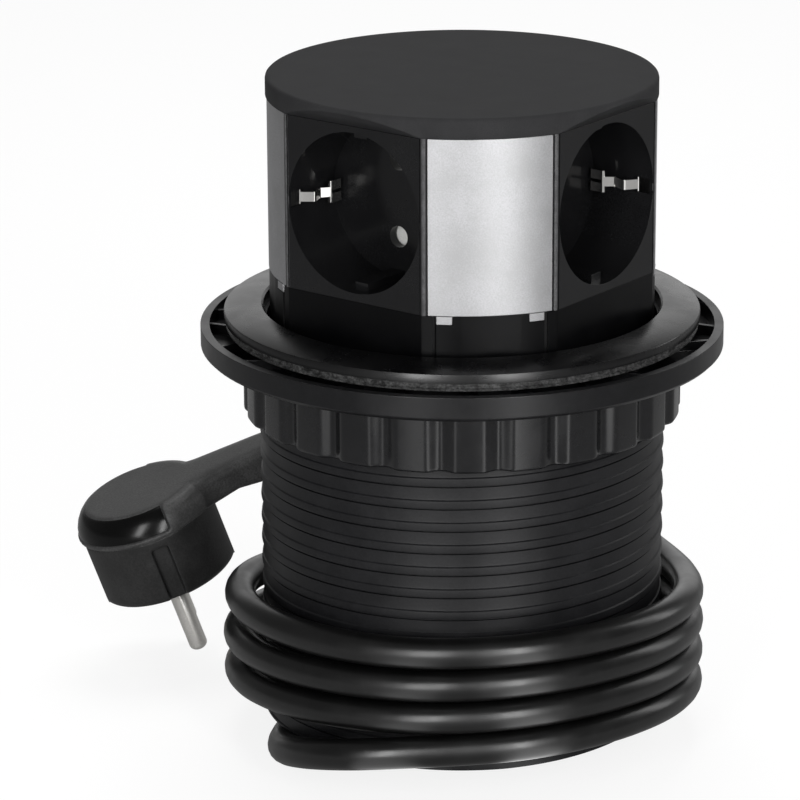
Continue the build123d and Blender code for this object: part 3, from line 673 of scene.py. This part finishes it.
# Tower
@dataclass(frozen=True)
class Tower:
    """The sliding tower: lid, skirt, posts, panels, sockets and what is inside.

    The lid's rounding is steps from its upper corner.
    """

    lid_r: float = 47.6
    lid_foot: float = 57.65
    lid_top: float = 62.5
    lid_rounding: Outline = (
        (-1.4, 0.0), (-0.9, 0.0), (-0.4, -0.12), (-0.12, -0.4), (0.0, -0.9))
    lid_foot_round: float = 0.15
    lid_recess_r: float = 26.0
    lid_skin: float = 2.2
    lid_edge: float = 0.9
    face_distance: float = 42.9
    edge_width: float = 0.18
    clip_edge: float = 0.1
    panel_edge: float = 0.12
    wall_r: float = 47.26
    bead_place: float = 20.48
    bead_r: float = 0.65
    bead_proud: float = 0.2
    bead_foot: float = 15.0
    bead_gap: float = 0.05
    bead_steps: int = 20

    def lid(self) -> None:
        """The round lid, turned with a soft upper edge."""
        piece = Workpiece.lathed("lid_disc", [
            (0, self.lid_top),
            *moved(self.lid_rounding, self.lid_r, self.lid_top),
            (self.lid_r, self.lid_foot + self.lid_foot_round),
            (self.lid_r - self.lid_foot_round, self.lid_foot),
            (self.lid_recess_r, self.lid_foot),
            (self.lid_recess_r, self.lid_top - self.lid_skin),
            (0, self.lid_top - self.lid_skin),
        ], closed=False)
        rise = self.lid_top - self.lid_edge - self.lid_foot
        run = self.lid_r - self.face_distance
        for side in Side:
            turned = Matrix.Rotation(math.radians(side.value), 3, "Z")
            piece.keep_side(turned @ Vector((0, -self.face_distance, self.lid_foot)),
                            turned @ Vector((0, -rise, -run)))
        piece.tidy()
        piece.finish(LID_ABS, "tower", "satin_black_plastic", ["top_cover"], smooth=50.0)

    def skirt(self) -> None:
        """The base that slides in the barrel, with soft edges."""
        piece = Workpiece.recast("tower_skirt", "tower_base").round_edges(self.edge_width)
        piece.finish(SKIRT_ABS, "tower", "matt_black_plastic", ["tower_base"])

    def sockets(self) -> None:
        """The four sockets, with their clips and shutters."""
        for side in Side:
            where = side.name.lower()
            piece = Workpiece.recast(f"outlet_{where}", f"socket_{where}")
            piece.round_edges(self.edge_width)
            piece.finish(SOCKET_PC, "tower", "satin_black_plastic", [f"socket_{where}"])
            clips = Workpiece.recast(f"clips_{where}", f"earth_clips_{where}")
            clips.round_edges(self.clip_edge)
            clips.finish(NICKEL, "tower", "nickel_plate", [f"earth_clips_{where}"])
            dress(f"shutter_{where}", SHUTTER_NYLON)
            dress(f"contacts_{where}", BRASS)

    def beads(self) -> None:
        """The rounded beads between the sockets and the panels, one pair for each side."""
        depth = math.sqrt(self.wall_r**2 - self.bead_place**2)
        inset = (self.wall_r + self.bead_proud - self.bead_r) / self.wall_r
        rise = self.lid_foot - self.bead_foot - self.bead_gap
        for side in Side:
            piece = Workpiece(f"beads_{side.name.lower()}")
            for hand in (-1, 1):
                place = Vector((hand * self.bead_place * inset, -depth * inset, self.bead_foot))
                ends = bmesh.ops.create_circle(
                    piece.mesh, cap_ends=True, segments=self.bead_steps, radius=self.bead_r,
                    matrix=Matrix.Translation(place))["verts"]
                cap = list({f for v in ends for f in v.link_faces})
                grown = bmesh.ops.extrude_face_region(piece.mesh, geom=cap)["geom"]
                bmesh.ops.translate(piece.mesh, vec=(0, 0, rise),
                                    verts=only(bmesh.types.BMVert, grown))
            bmesh.ops.rotate(piece.mesh, cent=(0, 0, 0), verts=piece.mesh.verts,
                             matrix=Matrix.Rotation(math.radians(side.value), 3, "Z"))
            piece.tidy()
            # The beads' lighter grey holds a painted highlight along each rounded crest.
            piece.finish(BEAD_HIGHLIGHT_ABS, "tower", "matt_black_plastic", smooth=50.0)

    def panels(self) -> None:
        """The four silver panels and the posts behind them."""
        for corner in Corner:
            where = corner.name.lower()
            piece = Workpiece.recast(f"cladding_{where}", f"panel_{where}")
            piece.round_edges(self.panel_edge)
            piece.finish(PANEL_ALU, "tower", "anodised_aluminium", [f"panel_{where}"])
            dress(f"corner_post_{where}", SKIRT_ABS)

    def innards(self) -> None:
        """Finishes for what the tower holds inside."""
        for node, finish in {
            "contact_core": CORE_NYLON,
            "live_bar": BRASS,
            "neutral_bar": BRASS,
            "charger_board": SOLDER_MASK,
            "charge_coil": ENAMEL_WIRE,
            "ferrite_sheet": FERRITE,
            "tower_screws": ZINC,
            "shutter_springs": ZINC,
        }.items():
            dress(node, finish)

    def build(self) -> None:
        """Model and dress the tower."""
        self.lid()
        self.skirt()
        self.sockets()
        self.beads()
        self.panels()
        self.innards()


# Plug
@dataclass(frozen=True)
class Plug:
    """The angled mains plug, in its own frame: z from its pins to its flat back, x along its neck.

    The skin, the shoulder and the band are turned: each point is a radius and a place along z. Each
    cut across the neck is its place along x, its width at the back and at the foot, its height, and
    how far its back is raised. The body is drawn out from its packed length to the cover's foot.
    """

    spot: Point = (-77.0, 50.0, -84.35)
    yaw: float = 17.64
    lean: float = 19.59
    roll: float = 0.72
    twist: float = -6.5
    packed_spot: Point = (-76.5, 50.0, -85.6)
    packed_yaw: float = 11.2
    packed_lean: float = 20.6
    packed_drum_top: float = 15.0
    stretch_from: float = 3.0
    steps: int = 128
    neck_steps: int = 40
    neck_squareness: float = 0.4
    cover_softening: int = 5
    drum_softening: int = 2
    drum_overlap: float = 0.2
    band_inset: float = 0.9
    band_step: float = 0.1
    band_overlap: float = 0.5
    lip_foot: float = 18.0
    back: float = 25.38
    aside: float = -0.8
    band_end: float = 4.6
    grain: float = 0.36
    skin: Outline = (
        (18.75, 18.0), (18.85, 18.4), (18.85, 19.0), (18.6, 19.25), (17.8, 19.35), (17.5, 20.8),
        (16.8, 22.2), (15.9, 23.6), (14.9, 24.7), (14.5, 25.2), (14.2, 25.38))
    shoulder: Outline = (
        (18.85, 18.0), (18.95, 20.2), (18.6, 22.0), (17.6, 23.6), (16.2, 24.8), (14.6, 25.38))
    band: Outline = (
        (18.45, 19.45), (18.2, 20.8), (17.5, 22.35), (16.5, 23.75), (15.5, 24.7), (14.95, 25.0))
    cuts: tuple[tuple[float, float, float, float, float], ...] = (
        (6.0, 20.0, 27.0, 9.0, 0.0), (11.0, 19.0, 26.0, 9.0, 0.0), (17.0, 16.6, 20.0, 8.4, 0.0),
        (25.0, 15.0, 16.6, 7.7, 0.3), (33.0, 13.4, 14.4, 9.4, 0.7), (42.0, 11.4, 12.0, 10.1, 1.0),
        (50.0, 9.8, 9.8, 10.0, 1.1))

    def neck_end(self) -> Vector:
        """The middle of the neck's tip, where the lead comes out."""
        place, _, _, height, raised = self.cuts[-1]
        return Vector((place, self.aside, self.back + raised - height / 2))

    def frame(self) -> Matrix:
        """The plug's frame as the lead's frame sees it."""
        return (Matrix.Translation(self.spot)
                @ Matrix.Rotation(math.radians(self.yaw), 4, "Z")
                @ Matrix.Rotation(math.radians(-self.lean), 4, "Y")
                @ Matrix.Rotation(math.radians(self.roll), 4, "X")
                @ Matrix.Rotation(math.radians(self.twist), 4, "Z"))

    def packed_frame(self) -> Matrix:
        """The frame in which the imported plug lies, as the lead's frame sees it."""
        return (Matrix.Translation(self.packed_spot)
                @ Matrix.Rotation(math.radians(self.packed_yaw), 4, "Z")
                @ Matrix.Rotation(math.radians(-self.packed_lean), 4, "Y"))

    def drawn_in(self, name: str, node: str, place: Matrix) -> Workpiece:
        """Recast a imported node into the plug's frame.

        Args:
            name: The piece's name.
            node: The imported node.
            place: The plug's frame.

        Returns:
            The piece, in the plug's own frame.
        """
        piece = Workpiece.recast(name, node)
        packed = place @ self.frame().inverted() @ self.packed_frame()
        bmesh.ops.transform(piece.mesh, matrix=packed.inverted(), verts=piece.mesh.verts)
        return piece

    def neck(self) -> Workpiece:
        """Loft the neck through its cuts.

        Returns:
            The neck.
        """
        piece = Workpiece("neck")
        rings = []
        for place, width, foot_width, height, raised in self.cuts:
            ring = bmesh.ops.create_circle(piece.mesh, segments=self.neck_steps,
                                           radius=1.0)["verts"]
            for vert in ring:
                across, up = (
                    math.copysign(abs(v) ** self.neck_squareness, v) for v in vert.co.xy)
                half = (width * (1 + up) + foot_width * (1 - up)) / 4
                vert.co = (place, self.aside + half * across,
                           self.back + raised - height * (1 - up) / 2)
            rings.append(list({e for v in ring for e in v.link_edges}))
        for first, second in zip(rings, rings[1:]):
            bmesh.ops.bridge_loops(piece.mesh, edges=first + second)
        bmesh.ops.holes_fill(piece.mesh, edges=rings[0] + rings[-1])
        piece.tidy()
        return piece

    def cover(self) -> Workpiece:
        """Weld the cover, its shoulder and its neck into one skin with soft edges.

        Returns:
            The cover.
        """
        core = (0.0, self.lip_foot)
        crown = (0.0, self.back)
        piece = Workpiece.lathed("plug_shell", [core, *self.skin, crown], self.steps, closed=False)
        half = Workpiece.lathed("shoulder", [core, *self.shoulder, crown], self.steps, closed=False)
        half.keep_side((self.band_end, 0, 0), (-1, 0, 0))
        piece.take_in(half)
        piece.take_in(self.neck())
        return piece.fuse(self.grain, self.cover_softening)

    def strip(self) -> Workpiece:
        """Turn the polished band that is let into the cover's side.

        Returns:
            The band.
        """
        inner = moved(self.band[::-1], -self.band_inset, -self.band_step)
        piece = Workpiece.lathed("plug_inlay", [*self.band, *inner], self.steps)
        piece.keep_side((self.band_end - self.band_overlap, 0, 0), (1, 0, 0))
        piece.tidy()
        return piece

    def drum(self, place: Matrix) -> Workpiece:
        """Stretch the body that holds the pins to the cover's foot.

        Args:
            place: The plug's frame.

        Returns:
            The body.
        """
        piece = self.drawn_in("plug_body", "plug_drum", place)
        reach = self.lip_foot + self.drum_overlap - self.stretch_from
        share = reach / (self.packed_drum_top - self.stretch_from)
        above = [v for v in piece.mesh.verts if v.co.z > self.stretch_from]
        bmesh.ops.scale(piece.mesh, vec=(1, 1, share), verts=above,
                        space=Matrix.Translation((0, 0, -self.stretch_from)))
        return piece.fuse(self.grain, self.drum_softening)

    def build(self, place: Matrix) -> list[bpy.types.Object]:
        """Model and dress the plug.

        Args:
            place: The plug's frame.

        Returns:
            Its pieces.
        """
        made = []
        studs = self.drawn_in("plug_studs", "plug_pins", place)
        strips = self.drawn_in("plug_strips", "plug_earth", place)
        for piece, finish, slot, node in (
            (self.cover(), PLUG_PVC, "black_rubber", "plug_cover"),
            (self.strip(), BAND_GLOSS, "gloss_black_plastic", "plug_band"),
            (self.drum(place), DRUM_PVC, "satin_black_plastic", "plug_drum"),
            (studs, PIN_NICKEL, "nickel_plate", "plug_pins"),
            (strips, NICKEL, "nickel_plate", "plug_earth"),
        ):
            bmesh.ops.transform(piece.mesh, matrix=place, verts=piece.mesh.verts)
            made.append(piece.finish(finish, "housing", slot, [node], smooth=40.0))
        return made


# Mains lead
@dataclass(frozen=True)
class Lead:
    """The mains lead with its plug, in a frame that is turned from that of the sockets.

    The fold's points are places. The rise's are degrees round the winding, radius and height. Each
    slack place is its degrees along the winding, and how far the turn is raised and widened there.
    """

    turn: float = 36.6
    radius: float = 3.85
    wind_r: float = 56.0
    shift: float = 0.75
    pitch: float = 8.35
    quarters: int = 13
    start: float = 91.42
    tilt: float = 4.7
    sway: float = 0.9
    fold_run: float = 15.0
    rise_run: float = 17.5
    slack_half: float = 82.0
    points_per_turn: int = 24
    length: float = 1.392
    fold_points: tuple[Point, ...] = (
        (-25.0, 1.5, -103.4),
        (-36.0, -1.5, -103.4),
        (-42.8, -11.5, -103.0),
        (-45.0, -25.0, -102.4),
        (-41.8, -38.0, -98.7),
        (-33.5, -49.5, -94.6),
    )
    plug: Plug = Plug()
    rise_points: tuple[Point, ...] = (
        (97.5, 56.3, -70.1),
        (112.5, 57.5, -71.5),
        (127.5, 60.4, -72.0),
        (142.0, 63.6, -69.0),
        (155.0, 64.6, -61.5),
        (168.0, 64.8, -52.5),
        (181.0, 64.8, -45.5),
    )
    slack: tuple[Point, ...] = (
        (52.0, 2.7, 0.0),
        (412.0, 2.3, 0.0),
        (772.0, 1.8, 0.0),
        (1128.0, 1.2, 0.0),
        (270.0, -1.0, 0.8),
        (630.0, 0.0, 0.9),
        (990.0, 2.0, 0.4),
    )

    def wound(self, degrees: float, radius: float) -> Vector:
        """A point of the winding.

        Args:
            degrees: How far round it is from the winding's start in front.
            radius: The winding's radius, without its slack.

        Returns:
            The point.
        """
        a = math.radians(degrees)
        height = (self.pitch * degrees / 360 - self.start
                  - self.tilt * (1 - math.cos(a)) - self.sway * math.sin(a))
        for middle, raised, wider in self.slack:
            off = min(abs(degrees - middle) / self.slack_half, 1.0)
            share = 0.5 + 0.5 * math.cos(math.pi * off)
            height += raised * share
            radius += wider * share
        return self.polar(degrees, radius, height)

    def polar(self, degrees: float, radius: float, height: float) -> Vector:
        """A point round the winding's axis, so many degrees from the front."""
        a = math.radians(degrees)
        return Vector((self.shift + radius * math.sin(a), -radius * math.cos(a), height))

    def heading(self, degrees: float) -> Vector:
        """The winding's direction, so many degrees from its start."""
        before, after = (self.wound(degrees + step, self.wind_r) for step in (-0.5, 0.5))
        return (after - before).normalized()

    def plug_frame(self) -> Matrix:
        """The plug's frame: z from its pins to its back, x along its neck."""
        return Matrix.Rotation(math.radians(self.turn), 4, "Z") @ self.plug.frame()

    def route(self) -> list[Vector]:
        """Lead the cord from the strain relief round the barrel and up to the plug's neck.

        Returns:
            Its control points in millimetres.
        """
        turned = Matrix.Rotation(math.radians(self.turn), 4, "Z")
        end = 90.0 * self.quarters
        step = 360.0 / self.points_per_turn
        stub = 2 * self.radius
        spread = self.wind_r / math.cos(math.radians(step / 2))
        points = [Vector(p) for p in self.fold_points]
        points.append(self.wound(0, self.wind_r) - self.heading(0) * (stub + self.fold_run))
        count = int(end / step)
        points += [self.wound(step * (i + 0.5), spread) for i in range(count)]
        points += [self.polar(*p) for p in self.rise_points]
        points = [turned @ p for p in points]
        plug = self.plug_frame()
        tip = self.plug.neck_end()
        points.append(plug @ (tip + Vector((self.rise_run, 0, 0))))
        points.append(plug @ tip)
        return points

    def cord(self, with_pieces: Sequence[bpy.types.Object | str]) -> None:
        """The lead as one smooth curve.

        Args:
            with_pieces: The strain relief and the pieces of the plug; not used.
        """
        line = bpy.data.curves.new("mains_lead", "CURVE")
        line.dimensions = "3D"
        line.bevel_depth = self.radius * MM
        line.bevel_resolution = 8
        line.resolution_u = 8
        line.use_fill_caps = True
        spline = line.splines.new("NURBS")
        route = [p + Vector((0, 0, Workpiece.lift)) for p in self.route()]
        spline.points.add(len(route) - 1)
        for point, place in zip(spline.points, route):
            point.co = (*(place * MM), 1.0)
        spline.order_u = 3
        spline.use_endpoint_u = True
        line.materials.append(SHEATH_PVC.build())
        made = bpy.data.objects.new("mains_lead", line)
        bpy.context.scene.collection.objects.link(made)
        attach(made, "housing")
        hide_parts("cord_lead", "cord_coil", "cord_rise")
        log.info("%s: %.3f m", made.name, self.length)

    def build(self) -> None:
        """Model and dress the lead and its plug."""
        dress("cord_gland", PLUG_PVC)
        self.cord(self.plug.build(self.plug_frame()))


# Studio
@dataclass(frozen=True)
class Lamp:
    """A softbox aimed at the object.

    Attributes:
        name: The lamp's name.
        bearing: Degrees to the right of the camera, seen from above the object.
        height: Degrees above the object.
        distance: Metres from the object.
        size: Width and height in metres.
        power: Watts.
        pool: How bright a pool of light, painted on the floor before the lamp, shows in
        reflections, above the rest of the floor.
    """

    name: str
    bearing: float
    height: float
    distance: float
    size: tuple[float, float]
    power: float
    pool: float = 0.0


@dataclass(frozen=True)
class Studio:
    """The camera, the softboxes, the white surroundings and the floor.

    Lengths are in metres. The pool of light painted on the floor before a low softbox, seen only in
    reflections, and the backdrop are full up to so many degrees from their middle, and end at so
    many. The fill and the room are the surroundings' strength as light and in reflections. The
    floor has a brightness to the camera, a grey that lights the object, a grey that takes its
    shadow, and a brightness in reflections.
    """

    camera_place: Point = (0.5734, -0.7721, 0.3962)
    camera_heading: float = 36.6
    camera_dip: float = 17.8
    lens: float = 183.66
    sensor: float = 36.0
    shift: float = -0.0775
    aim: Point = (0.0, 0.0, 0.09)
    fill: float = 0.3
    room: float = 0.15
    floor_seen: float = 0.84
    floor_grey: float = 0.8
    floor_shadow: float = 0.2
    floor_mirrored: float = 0.17
    painted_pool_core: float = 3.0
    painted_pool_ends: float = 11.0
    backdrop_full: float = 20.0
    backdrop_ends: float = 38.0
    floor_size: float = 30.0
    lamps: tuple[Lamp, ...] = (
        # The key and side lamps each have a pool of light painted on the floor before them, seen
        # only in reflections.
        Lamp("key", -19.0, 15.0, 1.2, (0.26, 0.8), 6.8, pool=1.0),
        Lamp("side", 22.0, 15.0, 1.2, (0.2, 0.8), 7.2, pool=2.0),
        Lamp("right", 112.0, 22.0, 1.2, (0.3, 0.8), 2.2),
        Lamp("top", 180.0, 68.0, 1.2, (0.6, 0.6), 5.5),
    )

    def towards(self, bearing: float, height: float = 0.0) -> Vector:
        """Point from the object into the studio.

        Args:
            bearing: Degrees to the right of the camera.
            height: Degrees above the object.

        Returns:
            The direction.
        """
        around = math.radians(self.camera_heading + bearing)
        above = math.radians(height)
        return Vector((
            math.sin(around) * math.cos(above), -math.cos(around) * math.cos(above),
            math.sin(above)))

    def camera(self) -> None:
        """The camera at the photograph's viewpoint."""
        data = bpy.data.cameras.new("viewpoint")
        data.lens = self.lens
        data.sensor_width = self.sensor
        data.sensor_fit = "HORIZONTAL"
        data.shift_x = self.shift
        data.clip_end = 100.0
        made = bpy.data.objects.new("viewpoint", data)
        made.location = self.camera_place
        made.rotation_euler = (
            math.radians(90 - self.camera_dip), 0, math.radians(self.camera_heading))
        bpy.context.scene.collection.objects.link(made)
        bpy.context.scene.camera = made

    def softbox(self, lamp: Lamp) -> None:
        """Hang one softbox round the object and aim it.

        Args:
            lamp: The softbox.
        """
        data = bpy.data.lights.new(lamp.name, "AREA")
        data.shape = "RECTANGLE"
        data.size, data.size_y = lamp.size
        data.energy = lamp.power
        made = bpy.data.objects.new(lamp.name, data)
        away = self.towards(lamp.bearing, lamp.height)
        made.location = Vector(self.aim) + away * lamp.distance
        made.rotation_euler = away.to_track_quat("Z", "Y").to_euler()
        bpy.context.scene.collection.objects.link(made)

    def surroundings(self) -> None:
        """A white backdrop in a dim room: full white to the camera, and as light a weak even fill.

        In reflections the backdrop is white and the rest of the room is dim, as in a real studio.
        """
        world = bpy.data.worlds.new("white_cove")
        bpy.context.scene.world = world
        world.use_nodes = True
        tree = world.node_tree
        tree.nodes.clear()
        path = add_node(tree, "ShaderNodeLightPath")
        way = add_node(tree, "ShaderNodeTexCoord").outputs["Generated"]
        facing = add_node(tree, "ShaderNodeVectorMath", {
            0: way, 1: self.towards(180.0)}, operation="DOT_PRODUCT")
        room = add_node(tree, "ShaderNodeMapRange", {
            "Value": facing.outputs["Value"],
            "From Min": math.cos(math.radians(self.backdrop_ends)),
            "From Max": math.cos(math.radians(self.backdrop_full)),
            "To Min": self.room, "To Max": 1.0}, interpolation_type="SMOOTHSTEP")
        mirrored = add_node(tree, "ShaderNodeMath", {
            0: path.outputs["Is Glossy Ray"], 1: path.outputs["Is Transmission Ray"]},
            operation="MAXIMUM")
        unseen = add_node(tree, "ShaderNodeMapRange", {
            "Value": mirrored.outputs["Value"],
            "To Min": self.fill, "To Max": room.outputs["Result"]})
        strength = add_node(tree, "ShaderNodeMath", {
            0: path.outputs["Is Camera Ray"], 1: unseen.outputs["Result"]}, operation="MAXIMUM")
        light = add_node(tree, "ShaderNodeBackground", {
            "Color": WHITE, "Strength": strength.outputs["Value"]})
        add_node(tree, "ShaderNodeOutputWorld", {"Surface": light.outputs["Background"]})

    def painted_pools(self, tree: bpy.types.NodeTree) -> bpy.types.NodeSocket | float:
        """Paint light on the floor for reflections: dim, with a pool before each low softbox.

        Args:
            tree: The floor's nodes.

        Returns:
            The floor's brightness.
        """
        place = add_node(tree, "ShaderNodeTexCoord").outputs["Object"]
        outwards = add_node(tree, "ShaderNodeVectorMath", {0: place}, operation="NORMALIZE")
        total = self.floor_mirrored
        for lamp in self.lamps:
            if lamp.pool:
                facing = add_node(tree, "ShaderNodeVectorMath", {
                    0: outwards.outputs["Vector"], 1: self.towards(lamp.bearing)},
                    operation="DOT_PRODUCT")
                glow = add_node(tree, "ShaderNodeMapRange", {
                    "Value": facing.outputs["Value"],
                    "From Min": math.cos(math.radians(self.painted_pool_ends)),
                    "From Max": math.cos(math.radians(self.painted_pool_core)),
                    "To Max": lamp.pool}, interpolation_type="SMOOTHSTEP")
                both = add_node(tree, "ShaderNodeMath", {0: total, 1: glow.outputs["Result"]})
                total = both.outputs["Value"]
        return total

    def floor(self) -> None:
        """A pale floor that fades into the surroundings but keeps the object's shadow."""
        piece = bmesh.new()
        bmesh.ops.create_grid(piece, x_segments=1, y_segments=1, size=self.floor_size / 2)
        data = bpy.data.meshes.new("floor")
        piece.to_mesh(data)
        piece.free()
        material = bpy.data.materials.new("pale_floor")
        material.use_nodes = True
        tree = material.node_tree
        tree.nodes.clear()
        path = add_node(tree, "ShaderNodeLightPath")
        matt, faint = (
            add_node(tree, "ShaderNodeBsdfDiffuse", {"Color": (grey, grey, grey, 1.0)})
            for grey in (self.floor_grey, self.floor_shadow))
        # In reflections the floor is dim, with a pool of light painted before the key and side
        # lamps; to the camera it is evenly bright.
        brightness = add_node(tree, "ShaderNodeMapRange", {
            "Value": path.outputs["Is Camera Ray"],
            "To Min": self.painted_pools(tree), "To Max": self.floor_seen})
        glow = add_node(tree, "ShaderNodeEmission", {
            "Color": WHITE, "Strength": brightness.outputs["Result"]})
        lit = add_node(tree, "ShaderNodeAddShader", {
            0: faint.outputs["BSDF"], 1: glow.outputs["Emission"]})
        seen = add_node(tree, "ShaderNodeMath", {
            0: path.outputs["Is Camera Ray"], 1: path.outputs["Is Glossy Ray"]},
            operation="MAXIMUM")
        seen = add_node(tree, "ShaderNodeMath", {
            0: seen.outputs["Value"], 1: path.outputs["Is Transmission Ray"]}, operation="MAXIMUM")
        both = add_node(tree, "ShaderNodeMixShader", {
            "Fac": seen.outputs["Value"], 1: matt.outputs["BSDF"], 2: lit.outputs["Shader"]})
        add_node(tree, "ShaderNodeOutputMaterial", {"Surface": both.outputs["Shader"]})
        data.materials.append(material)
        made = bpy.data.objects.new("floor", data)
        bpy.context.scene.collection.objects.link(made)

    def build(self) -> None:
        """Set up the studio."""
        bpy.context.scene.view_settings.view_transform = "Standard"
        self.camera()
        for lamp in self.lamps:
            self.softbox(lamp)
        self.surroundings()
        self.floor()


def main() -> None:
    """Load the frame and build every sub-assembly."""
    logging.basicConfig(level=logging.INFO, format="%(name)s: %(message)s")
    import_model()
    Workpiece.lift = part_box("seal_ring")[0].z / MM
    Studio().build()
    Lead().build()
    Housing().build()
    Clamp().build()
    Tower().build()


if __name__ == "__main__":
    main()
